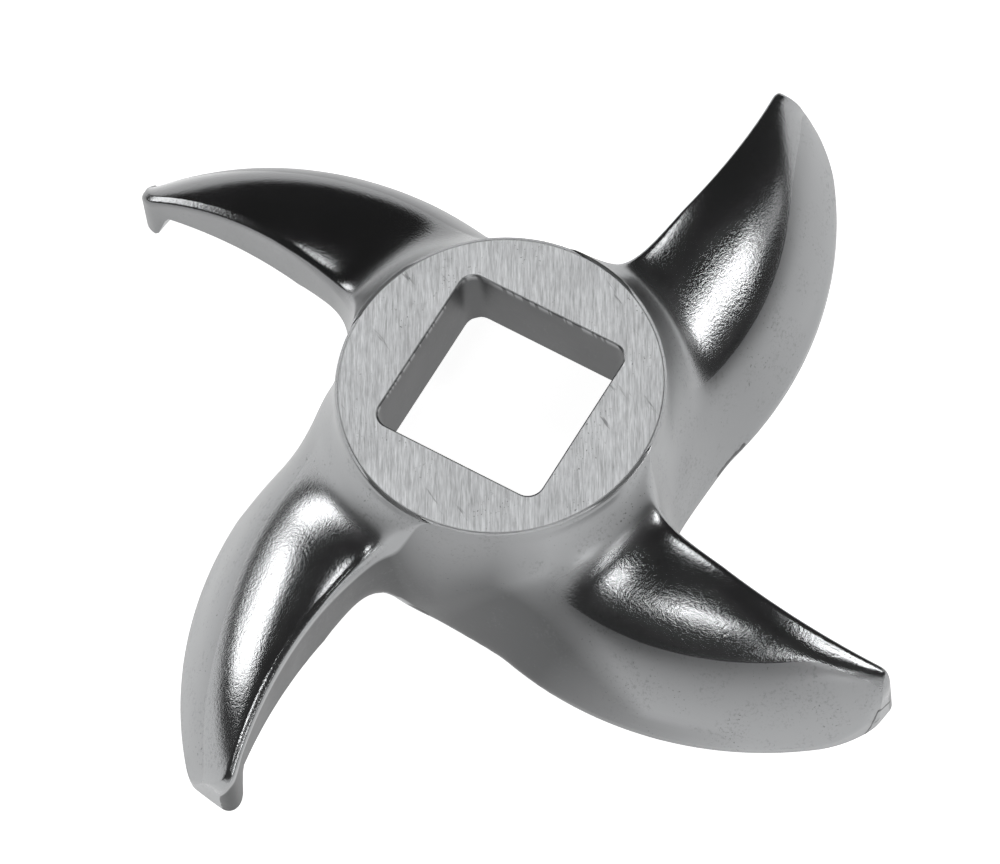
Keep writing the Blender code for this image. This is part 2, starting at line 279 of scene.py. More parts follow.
def gap_corner_angle(radius):
    """A straight line on the cone from the rim's end to the corner at the root of the gap."""
    share = clamp((radius - SHOULDER_RADIUS) / (ROOT_RADIUS - SHOULDER_RADIUS))
    return mix(RIM_END_ANGLE, GAP_CORNER_ANGLE, share)


def edge_angle(radius):
    """The edge's arc, filleted at the root, and the gap corner of the blade before it inside."""
    reach = EDGE_ROOT_ANGLE - (GAP_CORNER_ANGLE - PITCH)
    outside = EDGE.angle(radius) - reach * quarter_round((radius - ROOT_RADIUS) / ROOT_FILLET)
    return np.where(radius <= ROOT_RADIUS, gap_corner_angle(radius) - PITCH, outside)


def trimmed_edge_angle(blade, radius):
    """The edge's angle, with the corner at the turned end rounded off."""
    trim = blade.trim * quarter_round((SWEEP_RADIUS - radius) / blade.trim)
    return edge_angle(radius) + trim / radius


def tip_corner(radius, corner):
    """The rounded corner between the wall and the turned end, as an angle."""
    return corner * quarter_round((SWEEP_RADIUS - radius) / corner) / radius


def wall_angle(radius, corner=TIP_CORNER):
    """The wall's arc, led by a fillet into the end of the rim on the hub's shoulder."""
    reach = RIM_END_ANGLE - WALL.angle(SHOULDER_RADIUS)
    outside = WALL.angle(radius) + reach * quarter_round((radius - SHOULDER_RADIUS) / RIM_FILLET)
    return np.where(radius <= SHOULDER_RADIUS, RIM_END_ANGLE, outside - tip_corner(radius, corner))


print("edge angle at the tip:", round(math.degrees(float(edge_angle(SWEEP_RADIUS))), 2))

# %% [markdown]
# ## Heights of a blade
# Over the plan, every height is a formula. The belt-ground flank climbs as a parabola from the
# edge's narrow land to the crest. Behind the crest lies the back, nearly flat with a slight swell,
# as far as the rim, which runs level and then falls to the tip. Sculpting could do it too, but in
# a formula the swell can be tried at one value after another until the highlights lie right.

# %% Work out the rim and the tip


def rim_height(radius):
    """Level as far as the hub's fillet, then a parabola down to the tip's height."""
    share = np.maximum(radius - LEVEL_END, 0) / (SWEEP_RADIUS - LEVEL_END)
    return mix(RIM_HEIGHT, TIP_HEIGHT, share**2)


def tip_limit(radius):
    """A quarter round from the rim's height down to the turned end's."""
    share = (SWEEP_RADIUS - radius) / TIP_ROUNDING
    round_end = mix(rim_height(SWEEP_RADIUS - TIP_ROUNDING), TIP_END_HEIGHT, quarter_round(share))
    return np.where(share >= 1, FACE_HEIGHT, round_end)


print("rim heights in mm:", [round(1000 * float(rim_height(r)), 1) for r in (0.02, 0.035, 0.048)])

# %% Work out the flank and the back


def edge_depth(radius, angle):
    """The depth inside the edge's circle, less that of the edge itself at the same radius."""
    return np.maximum(EDGE.depth(radius, angle) - EDGE.depth(radius, edge_angle(radius)), 0)


def flank_height(blade, depth):
    """Land + slope x depth - depth squared / bend, and straight on past the crest."""
    bend = 2 * CREST_OFFSET / (blade.slope - CREST_SLOPE)
    bent = np.minimum(depth, CREST_OFFSET + CREST_ROUNDING)
    slope = blade.slope - 2 * bent / bend
    return EDGE_LAND + blade.slope * bent - bent**2 / bend + slope * (depth - bent)


def crest_offset(blade, radius):
    """The blade's own offset, or a share of the blade's width where the tip is narrower."""
    room = blade.tip * EDGE.depth(radius, wall_angle(radius))
    return soft_min(blade.crest, room, CREST_ROUNDING)


def back_height(blade, radius, across):
    """A straight line from crest to rim plus a parabola, 4 x swell x share x (1 - share).

    The parabola fades out towards the tip. Before the crest both run straight on, and the back
    never rises over the rim.
    """
    along = np.maximum(radius - LEVEL_END, 0) / (SWEEP_RADIUS - LEVEL_END)
    inside, past = clamp(across), np.minimum(across, 0)
    swell = 4 * blade.swell * (1 - along**2) * (inside * (1 - inside) + past)
    crest_height = flank_height(blade, crest_offset(blade, radius))
    straight = mix(crest_height, rim_height(radius), inside + past)
    return soft_min(straight + swell, rim_height(radius), RIM_BLEND)


crest_heights = [float(flank_height(blade, blade.crest)) for blade in OWN_BLADES]
print("flank heights at the crests in mm:", [round(1000 * height, 2) for height in crest_heights])

# %% [markdown]
# ## Joining the blades to the hub
# The hub is a short steep cone, and each blade flares up into it. A Boolean union and a bevel
# could join them, but the fillet would tear where it runs out. As heights over one plan, they
# need only the larger of the two, and the flare is a lift that fades with the distance.

# %% Work out the join


def joined_to_hub(radius, blade_top, depth, reach):
    """The larger of cone and flared blade, with a fillet, cut off softly at the shoulder.

    The flare's lift is a power of the distance from the hub. It is joined with the room that a
    slope from the edge leaves as a b / (a + b), which is never more than either.
    """
    cone = SHOULDER_HEIGHT * (ROOT_RADIUS - radius) / CONE_WIDTH
    share = clamp(1 - (radius - SHOULDER_RADIUS) / reach)
    lift = (SHOULDER_HEIGHT - blade_top) * share**FLARE_EASE
    room = depth * FLARE_SLOPE
    flared = blade_top + lift * room / np.maximum(lift + room, NEARLY_NOTHING)
    height = soft_max(cone, flared, CONE_FILLET)
    return soft_min(SHOULDER_HEIGHT, height, SHOULDER_ROUNDING)


def blade_height(blade, radius, angle, crest, inner):
    """Softly the smaller of the flank and the back, under the tip's round and over the land."""
    back = back_height(blade, radius, (angle - crest) / (inner - crest))
    depth = edge_depth(radius, angle)
    flank = flank_height(blade, depth)
    height = np.minimum(soft_min(flank, back, blade.bend), tip_limit(radius))
    return np.maximum(joined_to_hub(radius, height, depth, blade.flare), EDGE_LAND)


print("slope of the cone in degrees:", round(math.degrees(math.atan(SHOULDER_HEIGHT / CONE_WIDTH))))

# %% [markdown]
# ## The plate side
# Only a narrow land behind each cutting edge and a pad at each tip touch the grinder's plate.
# Between them the casting is hollowed. A Boolean could cut the hollow, but as a height it lets the
# same grid close the blade from below.

# %% Work out the hollow


def relief_height(radius):
    """The hollow behind the land: a ramp up from the hub, level, and a ramp down to the tip."""
    rise = (radius - ROOT_RADIUS) / (ROOT_FILLET * RELIEF_ROOT_SHARE)
    fall = (SWEEP_RADIUS - TIP_PAD - radius) / TIP_PAD_RUN
    return RELIEF_DEPTH * clamp(np.minimum(rise, fall))


def foot_angle(radius, corner):
    """The foot of the wall: its arc, filleted at the root and drawn in by the casting's draft."""
    reach = GAP_CORNER_ANGLE - WALL_ROOT_ANGLE
    fillet = reach * quarter_round((radius - ROOT_RADIUS) / ROOT_FILLET)
    relief = relief_height(radius)
    draft = WALL_DRAFT * relief / RELIEF_DEPTH * (rim_height(radius) - relief) / WALL_DEPTH
    outside = WALL.angle(radius) + fillet - draft / radius - tip_corner(radius, corner)
    return np.where(radius <= ROOT_RADIUS, gap_corner_angle(radius), outside)


print("hollow in the middle of a blade, in mm:", round(1000 * float(relief_height(0.035)), 1))

# %% [markdown]
# ## Cuts through a blade
# The blade is a grid: rows run outwards from hub to tip, and columns run across, from the foot of
# the edge over the flank, crest, back and rim and down the wall. An even grid would need many more
# points, so rows and columns crowd together where the surface turns.

# %% Space the rows and columns
LAND_COLUMNS = 3
FLANK_COLUMNS = 22
BACK_COLUMNS = 34
RIM_COLUMNS = 9
WALL_COLUMNS = 12
FOOT_COLUMNS = 3
MAIN_COLUMNS = FLANK_COLUMNS + BACK_COLUMNS + RIM_COLUMNS + WALL_COLUMNS
CONE_ROWS = 18
ROOT_ROWS = 15
BLADE_ROWS = 52
TIP_ROWS = 13
FLANK_CROWDING = 1.4
BACK_CROWDING = 1.25


def even(count):
    """Even steps from 0 up to 1, without the 1."""
    return np.linspace(0, 1, count, endpoint=False)


def cut_radii():
    """Rows close together on the cone, the root fillet and the tip, where the shape turns."""
    cone_start = SHOULDER_RADIUS - SHOULDER_ROUNDING / 8
    root_end = ROOT_RADIUS + ROOT_FILLET
    tip_start = SWEEP_RADIUS - TIP_ROUNDING
    return np.concatenate(
        [
            [FACE_RADIUS],
            np.linspace(cone_start, ROOT_RADIUS, CONE_ROWS, endpoint=False),
            mix(ROOT_RADIUS, root_end, even(ROOT_ROWS) ** 2),
            np.linspace(root_end, tip_start, BLADE_ROWS, endpoint=False),
            mix(SWEEP_RADIUS, tip_start, (1 - np.linspace(0, 1, TIP_ROWS)) ** 2),
        ]
    )


RADII = cut_radii()[:, None]
print("rows:", len(RADII), "columns:", LAND_COLUMNS + MAIN_COLUMNS + FOOT_COLUMNS)

# %% [markdown]
# ## The upper side of a cut
# Each cut starts on the plate at the edge and ends there at the wall's foot. The rim turns over in
# a small quarter circle, with a narrow bevel on three blades. In the corner of the gap, where the
# land meets the wall, the levels of both are matched, so the skin closes.

# %% Shape the rim and the wall
CREST_SHARES = (0.2, 0.8)


def rim_drop(blade, radius, inward):
    """A quarter circle at the rim's outer edge and a straight bevel, faded in from the hub."""
    edge_run = np.maximum(RIM_ROUNDING - inward, 0) / RIM_ROUNDING
    drop = RIM_ROUNDING * (1 - np.sqrt(np.maximum(1 - edge_run**2, 0)))
    drop += RIM_SLOPE * np.maximum(RIM_ROUNDING + blade.bevel - inward, 0)
    return drop * clamp((radius - SHOULDER_RADIUS) / ROOT_FILLET)


def over_the_top(blade, radius, start, end):
    """Angles and heights from the edge over flank, back and rim."""
    inner = end - RIM_LAND / radius
    crest = EDGE.angle(radius, crest_offset(blade, radius))
    crest = np.clip(crest, *(mix(start, inner, share) for share in CREST_SHARES))
    flank = mix(start, crest, 1 - (1 - even(FLANK_COLUMNS)) ** FLANK_CROWDING)
    back = mix(crest, inner, even(BACK_COLUMNS) ** BACK_CROWDING)
    rim = mix(inner, end, np.sin(np.linspace(0, 1, RIM_COLUMNS) * math.pi / 2))
    angles = np.concatenate([flank, back, rim], axis=1)
    heights = blade_height(blade, radius, angles, crest, inner)
    heights[:, -RIM_COLUMNS:] -= rim_drop(blade, radius, (end - rim) * radius)
    return angles, heights


def down_the_wall(end, foot, rim_end, relief, land_height, outside):
    """Straight lines from the rim to a ledge at the land's share of the height, and on down."""
    at_root = int(np.flatnonzero(outside)[0])
    share = np.where(outside, land_height[at_root] / rim_end[at_root], 0)
    wall_down = np.linspace(0, 1, WALL_COLUMNS + 1)[1:]
    ledge_angle = mix(foot, end, share * relief / RELIEF_DEPTH * outside)
    wall = mix(end, ledge_angle, wall_down)
    wall_height = mix(rim_end, mix(relief, rim_end, share), wall_down)
    toe_down = np.linspace(0, 1, FOOT_COLUMNS + 1)[1:]
    toe = mix(wall[:, -1:], foot, toe_down)
    toe_height = mix(wall_height[:, -1:], relief, toe_down)
    return [wall, toe], [wall_height, toe_height]


print("columns over the top:", MAIN_COLUMNS - WALL_COLUMNS)

# %% Put the upper side of a cut together


def top_cut(blade, radius):
    """Angles and heights of the upper surface, for a column of radii, from edge to wall foot."""
    start = trimmed_edge_angle(blade, radius)
    end = wall_angle(radius, blade.corner)
    foot = foot_angle(radius, blade.corner)
    across, height = over_the_top(blade, radius, start, end)
    land_height = height[:, :1].copy()
    rim_end = np.maximum(height[:, -1:], land_height)
    outside = radius >= ROOT_RADIUS
    relief = np.where(outside, relief_height(radius), land_height)
    walls, wall_heights = down_the_wall(end, foot, rim_end, relief, land_height, outside)
    land_angle = np.repeat(start, LAND_COLUMNS, axis=1)
    land_rise = np.where(outside, land_height * even(LAND_COLUMNS), land_height)
    angles = np.concatenate([land_angle, across, *walls], axis=1)
    heights = np.concatenate([land_rise, height, *wall_heights], axis=1)
    ring = clamp((np.arange(angles.shape[1]) - LAND_COLUMNS) / (MAIN_COLUMNS - 1))
    angles[0] = start[0] + PITCH * ring
    heights[0] = SHOULDER_HEIGHT
    return angles, heights


print("grid of one blade:", top_cut(OWN_BLADES[0], RADII)[0].shape)

# %% Work out the lower side of a cut
LAND_SHARES = (0.15, 0.6)
ROOF_SHARES = (0.3, 0.8)


def under_cut(blade, radius, top_angles):
    """The plate side below the same angles: land, ramp and relief as one clamped straight line."""
    start = trimmed_edge_angle(blade, radius)
    foot = foot_angle(radius, blade.corner)
    land = EDGE.angle(radius, PLATE_LAND)
    land = np.clip(land, *(mix(start, foot, share) for share in LAND_SHARES))
    roof = EDGE.angle(radius, PLATE_LAND + RELIEF_RUN)
    roof = np.clip(roof, *(mix(start, foot, share) for share in ROOF_SHARES))
    angles = np.minimum(top_angles, foot)
    return angles, relief_height(radius) * clamp((angles - land) / (roof - land))


print("width of the land in mm:", round(1000 * PLATE_LAND, 1))

# %% [markdown]
# ## Putting grids together
# A grid of points, rows x columns x 3, becomes faces by joining each point with its neighbours.
# Each grid could be an object of its own, but then every seam would show. So they are collected
# and welded once, which merges the shared borders and drops the faces that have shrunk to
# nothing.

# %% Collect and weld grids
# The last zone is painted shade, not a finish: it darkens roots and walls, which mirror the
# shadowed table, and backs, which mirror the dark room.
ZONES = ("back", "wall", "face", "bore", "dark")
WELD_DISTANCE = 1e-6


def zone(**shares):
    """One number for each finish, 0 where it isn't named."""
    return np.array([shares.get(name, 0.0) for name in ZONES])


def polar_grid(radius, angle, height):
    """x = r cos a, y = r sin a, z = height, for arrays that broadcast together."""
    radius, angle, height = np.broadcast_arrays(radius, angle, height)
    return np.stack([radius * np.cos(angle), radius * np.sin(angle), height], axis=-1)


class Skin:
    """Collects grids of points and the finish of each, and welds them into one mesh."""

    def __init__(self):
        self.points = []
        self.finish = []
        self.faces = []
        self.count = 0

    def add(self, grid, finish, keep=None, flip=False):
        """Faces join point (i, j) with (i+1, j), (i+1, j+1) and (i, j+1)."""
        rows, columns = grid.shape[:2]
        index = self.count + np.arange(rows * columns).reshape(rows, columns)
        corners = [index[:-1, :-1], index[1:, :-1], index[1:, 1:], index[:-1, 1:]]
        quads = np.stack(corners, axis=-1)
        if keep is not None:
            quads = quads[keep]
        quads = quads.reshape(-1, 4)
        finish = np.broadcast_to(finish, (rows, columns, len(ZONES)))
        self.faces.append(quads[:, ::-1] if flip else quads)
        self.points.append(grid.reshape(-1, 3))
        self.finish.append(finish.reshape(-1, len(ZONES)))
        self.count += rows * columns

    def weld(self, name):
        data = bpy.data.meshes.new(name)
        faces = np.concatenate(self.faces)
        data.from_pydata(np.concatenate(self.points).tolist(), [], faces.tolist())
        finish = np.concatenate(self.finish)
        for place, zone_name in enumerate(ZONES):
            layer = data.attributes.new(zone_name, "FLOAT", "POINT")
            layer.data.foreach_set("value", finish[:, place].astype(np.float32))
        mesh = bmesh.new()
        mesh.from_mesh(data)
        bmesh.ops.remove_doubles(mesh, verts=mesh.verts, dist=WELD_DISTANCE)
        bmesh.ops.dissolve_degenerate(mesh, edges=mesh.edges, dist=WELD_DISTANCE)
        bmesh.ops.recalc_face_normals(mesh, faces=mesh.faces)
        open_edges = sum(len(edge.link_faces) != 2 for edge in mesh.edges)
        triangles = sum(len(face.verts) - 2 for face in mesh.faces)
        print(name, "triangles:", triangles, "open edges:", open_edges)
        mesh.to_mesh(data)
        mesh.free()
        return data


skin = Skin()
print("finishes:", ", ".join(ZONES))

# %% [markdown]
# ## Where each finish lies
# The flank is belt-ground, the back keeps the casting's tumbled skin, and the wall is duller. A
# painted shade darkens the roots and walls, which mirror the shadowed table, and parts of the
# backs, which mirror the dark room. Faces could have separate materials, but real finishes run
# into each other, so each point carries a share of every finish.

# %% Work out the finishes
HUB_SKIN_REACH = 0.0022
HUB_SKIN_FADE = 0.0030
RIM_BRIGHT_COLUMNS = 2
WALL_FADE = 0.0040
# Painted shade: a band along the edge, widest at the root, fading outwards and towards the
# shoulder.
PAINTED_SHADE_AT_SHOULDER = 0.3
PAINTED_SHADE_ROOT_BAND = 0.0090
PAINTED_SHADE_TIP_BAND = 0.0012
PAINTED_SHADE_RUN = 0.0140
PAINTED_SHADE_END = 0.0410
PAINTED_SHADE_FADE = 0.0160
CREST_AT = LAND_COLUMNS + FLANK_COLUMNS
WALL_AT = CREST_AT + BACK_COLUMNS + RIM_COLUMNS


def painted_shade_share(blade, radius, depth, on_wall, off_hub):
    """Painted shade: a band along the edge that narrows and fades outwards, and a share of back and
    wall.
    """
    band = mix(PAINTED_SHADE_ROOT_BAND, PAINTED_SHADE_TIP_BAND, clamp((radius - ROOT_RADIUS) / PAINTED_SHADE_RUN))
    fade = clamp((PAINTED_SHADE_END - radius) / PAINTED_SHADE_FADE)
    painted_shade_edge = blade.dark_root * clamp(2 - 2 * depth / band) * fade
    painted_shade_back = blade.painted_shade_back * off_hub * clamp(depth / blade.crest)
    dark = np.where(on_wall, blade.dark_wall, np.maximum(painted_shade_edge, painted_shade_back))
    return dark * clamp((radius - SHOULDER_RADIUS) / WALL_FADE + PAINTED_SHADE_AT_SHOULDER)


def blade_finish(blade, radius, angles):
    """The shares of back, wall and painted shade at each point of the upper side."""
    place = np.arange(angles.shape[1])
    off_hub = 1 - clamp((ROOT_RADIUS + HUB_SKIN_REACH - radius) / HUB_SKIN_FADE)
    on_back = (place > CREST_AT) & (place < WALL_AT - RIM_BRIGHT_COLUMNS)
    on_wall = place > WALL_AT
    depth = edge_depth(radius, angles)
    finish = np.zeros((*angles.shape, len(ZONES)))
    finish[..., ZONES.index("back")] = on_back * off_hub
    finish[..., ZONES.index("wall")] = on_wall * clamp((radius - ROOT_RADIUS) / WALL_FADE)
    finish[..., ZONES.index("dark")] = painted_shade_share(blade, radius, depth, on_wall, off_hub)
    return finish


print("columns of crest and wall:", CREST_AT, WALL_AT)

# %% [markdown]
# ## The blades
# A blade's skin has three grids: the upper side, the plate side and the turned end. A Mirror or
# Array modifier would repeat one blade exactly. As the four differ, each is worked out with its
# own sizes and its own quarter turn.

# %% Build the blades
PLATE_RING_STEP = 0.0001
HOLLOW_MOUTH = HOLLOW_RADIUS + HOLLOW_DRAFT


def end_face(top_row, plate_row, rim_end):
    """The turned end: points between two rows at the wall's levels, and the land's by the edge."""
    fall = 1 - top_row[rim_end:, 2] / top_row[rim_end, 2]
    share = np.repeat(fall[:, None, None], rim_end + 1 - LAND_COLUMNS, axis=1)
    share[:, 0] = np.round(share[:, 0] * LAND_COLUMNS) / LAND_COLUMNS
    columns = slice(LAND_COLUMNS, rim_end + 1)
    return mix(top_row[columns], plate_row[columns], share)


def add_blade(skin, blade):
    """The upper side, then the plate side outside the hub's hollow, then the turned end."""
    turn = blade.turn * PITCH
    angles, heights = top_cut(blade, RADII)
    top = polar_grid(RADII, angles + turn, heights)
    spans = np.arange(angles.shape[1] - 1)
    outside = np.repeat(RADII[:-1] >= ROOT_RADIUS - NEARLY_NOTHING, len(spans), axis=1)
    main = (spans >= LAND_COLUMNS) & (spans < len(spans) - FOOT_COLUMNS)
    skin.add(top, blade_finish(blade, RADII, angles), keep=outside | main)
    under_angles, under_heights = under_cut(blade, RADII, angles)
    plate = polar_grid(np.maximum(RADII, HOLLOW_MOUTH), under_angles + turn, under_heights)
    outer_rows = np.flatnonzero(RADII[:, 0] > HOLLOW_MOUTH + PLATE_RING_STEP)
    plate = plate[np.concatenate([[0], outer_rows])]
    skin.add(plate, zone(), flip=True)
    skin.add(end_face(top[-1], plate[-1], WALL_AT - 1), zone())


for own_blade in OWN_BLADES:
    add_blade(skin, own_blade)
print("points so far:", skin.count)

# %% [markdown]
# ## The hub
# The turned face is a flat ring between a square hole and a circle. A Boolean could cut the hole,
# but its long thin triangles would shade badly. A ring can also be a mix of two outlines at the
# same angles. The bore's walls, the hollow's ceiling and its rounded corner repeat that idea.

# %% Draw the square and the circle
RING_ROWS = 12
FACE_ROWS = np.concatenate([[0, 0.02], np.linspace(0.1, 0.9, 10), [0.98, 1]])[:, None]
CORNER_ROWS = 9
MOUTH_GROWTH = 0.0003
MOUTH_DROP = 0.00015
FOOT_GROWTH = 0.0005
FOOT_DROP = 0.00025


def square_outline(angle, side, corner):
    """The ray's distance to a rounded square.

    To the flat side it is half the side over the cosine. To the corner's arc it comes from the
    quadratic formula for a ray and a circle.
    """
    turn = np.abs((angle + math.pi / 4) % (math.pi / 2) - math.pi / 4)
    flat = side / 2 / np.cos(turn)
    centre = side / 2 - corner
    along = centre * (np.cos(turn) + np.sin(turn))
    arc = along + np.sqrt(np.maximum(along**2 - 2 * centre**2 + corner**2, 0))
    return np.where(flat * np.sin(turn) > centre, arc, flat)


def ring_angles():
    """The even angles of the innermost cut of all four blades, closed into a circle."""
    start = float(edge_angle(np.array(FACE_RADIUS)))
    steps = MAIN_COLUMNS - 1
    return start + PITCH * np.arange(BLADES * steps + 1)[None] / steps


RING = ring_angles()
BORE = square_outline(RING, DRIVE_SQUARE, DRIVE_CORNER)
print("across the corners of the drive hole in mm:", round(2000 * float(BORE.max()), 2))

# %% Build the face and its step


def column(*values):
    return np.array(values)[:, None]


def add_face(skin):
    """The face from the hole's chamfer out to its own, then the step down to the shoulder."""
    mouth = square_outline(RING, DRIVE_SQUARE + MOUTH_GROWTH, DRIVE_CORNER)
    rim = FACE_RADIUS - FACE_CHAMFER
    worked = np.concatenate([[0], np.ones(len(FACE_ROWS) - 2), [0]])[:, None, None]
    face = polar_grid(mix(mouth, rim, FACE_ROWS), RING, FACE_HEIGHT)
    skin.add(face, zone(face=1) * worked)
    radii = column(rim, FACE_RADIUS, FACE_RADIUS)
    heights = column(FACE_HEIGHT, FACE_HEIGHT - FACE_CHAMFER, SHOULDER_HEIGHT)
    skin.add(polar_grid(radii, RING, heights), zone())
    heights = column(FACE_HEIGHT, FACE_HEIGHT - MOUTH_DROP)
    skin.add(polar_grid(np.concatenate([mouth, BORE]), RING, heights), zone(), flip=True)


add_face(skin)
print("points so far:", skin.count)

# %% Build the bore and the hollow


def add_bore(skin):
    """Down the hole and its lower chamfer, out over the ceiling, and down the hollow's side."""
    rows = np.linspace(0, 1, RING_ROWS)[:, None]
    low = HOLLOW_DEPTH + FOOT_DROP
    foot = square_outline(RING, DRIVE_SQUARE + FOOT_GROWTH, DRIVE_CORNER)
    ceiling = HOLLOW_RADIUS - HOLLOW_CORNER
    turn = np.linspace(0, math.pi / 2, CORNER_ROWS)[:, None]
    rings = [
        (BORE, mix(FACE_HEIGHT - MOUTH_DROP, low, rows)),
        (np.concatenate([BORE, foot]), column(low, HOLLOW_DEPTH)),
        (mix(foot, ceiling, rows), HOLLOW_DEPTH),
        (ceiling + HOLLOW_CORNER * np.sin(turn), HOLLOW_DEPTH - HOLLOW_CORNER * (1 - np.cos(turn))),
        (HOLLOW_RADIUS + HOLLOW_DRAFT * rows, mix(HOLLOW_DEPTH - HOLLOW_CORNER, 0, rows)),
    ]
    for radius, height in rings:
        skin.add(polar_grid(radius, RING, height), zone(bore=1), flip=True)


add_bore(skin)
knife_mesh = skin.weld("knife_casting")

# %% [markdown]
# ## Easing the roots
# Where a wall, the cone and the next blade's flank meet, the formulas leave a crease that a
# casting never has. A Smooth modifier with a vertex group could ease it. The arrays do the same:
# each point near the hub moves towards the mean of its neighbours, many times over, with a
# strength that fades out before the face, the plate side and the blades.

# %% Ease the creases near the hub
EASE_ROUNDS = 60
EASE_FROM = 0.0172
EASE_FULL = 0.0180
EASE_FADE = 0.0225
EASE_END = 0.0285
EASE_FOOT = 0.0006


def ease_strength(points):
    """Straight ramps up and down over the radius, and up over the height."""
    radius = np.hypot(points[:, 0], points[:, 1])
    strength = clamp((radius - EASE_FROM) / (EASE_FULL - EASE_FROM))
    strength *= clamp((EASE_END - radius) / (EASE_END - EASE_FADE))
    return strength * clamp(points[:, 2] / EASE_FOOT - 1)


def ease_roots(data):
    """Laplacian smoothing: point += strength x (mean of its neighbours - point) / 2."""
    count = len(data.vertices)
    points = np.empty(count * 3)
    data.vertices.foreach_get("co", points)
    points = points.reshape(-1, 3)
    edges = np.empty(len(data.edges) * 2, int)
    data.edges.foreach_get("vertices", edges)
    first, second = edges.reshape(-1, 2).T
    strength = ease_strength(points)
    neighbours = np.bincount(first, minlength=count) + np.bincount(second, minlength=count)
    for _ in range(EASE_ROUNDS):
        total = np.zeros_like(points)
        for axis in range(3):
            total[:, axis] = np.bincount(first, points[second, axis], count)
            total[:, axis] += np.bincount(second, points[first, axis], count)
        points += (total / neighbours[:, None] - points) * strength[:, None] / 2
    data.vertices.foreach_set("co", points.ravel())
    data.update()
    return int((strength > 0).sum())


print("points eased:", ease_roots(knife_mesh))

# %% [markdown]
# ## Shading maths
# A finish is a chain of shader nodes, which could be laid out by hand. Ordinary expressions are
# easier to read: one small class wraps a socket and turns + - * into Math nodes, and one function
# makes any other node from its type, settings and inputs.

# %% Wrap sockets


class Wire:
    """A shader value: arithmetic on it adds Math nodes to its tree."""

    def __init__(self, tree, socket):
        self.tree = tree
        self.socket = socket

    def math(self, operation, other, clamped=False):
        settings = {"operation": operation, "use_clamp": clamped}
        return add_node(self.tree, "ShaderNodeMath", settings, {0: self, 1: other})

    def __add__(self, other):
        return self.math("ADD", other)

    def __mul__(self, other):
        return self.math("MULTIPLY", other)

    def __sub__(self, other):
        return self.math("SUBTRACT", other)

    def __rsub__(self, other):
        return add_node(self.tree, "ShaderNodeMath", {"operation": "SUBTRACT"}, {0: other, 1: self})

    __radd__ = __add__
    __rmul__ = __mul__

    def smooth(self, low, high):
        """A smooth step from 0 to 1 as the value goes from low to high."""
        settings = {"interpolation_type": "SMOOTHSTEP"}
        values = {"Value": self, "From Min": low, "From Max": high}
        return add_node(self.tree, "ShaderNodeMapRange", settings, values, "Result")


def set_stops(ramp, stops):
    while len(ramp.elements) < len(stops):
        ramp.elements.new(0.5)
    for element, (position, level) in zip(ramp.elements, stops):
        element.position = position
        element.color = (level, level, level, 1)


def add_node(tree, kind, settings=None, values=None, output=0):
    """Adds a node, sets what it is set to, joins or fills its inputs, and returns one output."""
    node = tree.nodes.new(kind)
    for name, value in (settings or {}).items():
        if name == "stops":
            set_stops(node.color_ramp, value)
        else:
            setattr(node, name, value)
    for name, value in (values or {}).items():
        socket = node.inputs[name]
        if isinstance(value, Wire):
            tree.links.new(value.socket, socket)
        else:
            socket.default_value = value
    return Wire(tree, node.outputs[output])


print("wires ready:", Wire.__name__)

# %% [markdown]
# ## Greys and patterns of the steel
# It is all one stainless steel, but worked in different ways. The face was turned and then rubbed
# flat on a belt, which leaves lines. The flanks are belt-ground to a satin, the backs are tumbled
# to an orange-peel gloss, and the bore is as cast. The walls' grey and the darkest grey are painted
# shade, for the shadowed table and the dark room that the steel mirrors. Pictures of steel could be
# laid on the mesh, but noise reads each point's own place, so it has no seams.

# %% Name the greys and patterns
STEEL_TINT = (0.985, 1.0, 1.015)
FLANK_GREYS = (0.28, 0.34)
BACK_GREY = 0.30
# The walls' grey is darker than the flank's as painted shade, for the table in the knife's shadow
# that the walls mirror.
WALL_SHADE_GREY = 0.22
BORE_GREY = 0.10
# The darkest grey is painted shade, for the shadowed table and the dark room that roots, walls and
# backs mirror.
PAINTED_SHADE_GREY = 0.06
FACE_GREYS = (0.45, 0.90)
SCUFF_GREY = 0.22
FRECKLE_GREY = 0.14
PIT_GREY = 0.10
NICK_GREY = 0.05
BELT_TURN = (0, 0, math.radians(30.7))
SCUFF_TURN = (0, 0, math.radians(64))

# For each pattern: its scale per metre, its detail and roughness, its stretch and its turn.
PATTERNS = {
    "streaks": (3600, 3, 0.6, (12, 1, 1), BELT_TURN),
    "fine streaks": (8000, 2, 0.5, (10, 1, 1), BELT_TURN),
    "peel": (1500, 3, 0.6),
    "cloud": (160, 3, 0.6),
    "grain": (3200, 3, 0.7),
    "freckles": (2600, 3, 0.7),
    "freckled patches": (300, 2, 0.5),
    "pits": (3400, 2, 0.5),
    "pitted patches": (240, 2, 0.5),
    "scuffs": (900, 3, 0.6, (6, 1, 1), SCUFF_TURN),
}


def grey(level, tint=STEEL_TINT):
    return (level * tint[0], level * tint[1], level * tint[2], 1.0)


def mix_colour(tree, factor, first, second):
    values = {0: factor, 6: first, 7: second}
    return add_node(tree, "ShaderNodeMix", {"data_type": "RGBA", "blend_type": "MIX"}, values, 2)


def noise(tree, place, scale, detail, roughness, stretch=(1, 1, 1), turn=(0, 0, 0)):
    """A noise between 0 and 1, about 0.5 on average, that is drawn out and turned by a mapping."""
    mapping = {"Vector": place, "Rotation": turn, "Scale": stretch}
    mapped = add_node(tree, "ShaderNodeMapping", {"vector_type": "TEXTURE"}, mapping)
    values = {"Vector": mapped, "Scale": scale, "Detail": detail, "Roughness": roughness}
    return add_node(tree, "ShaderNodeTexNoise", {}, values)


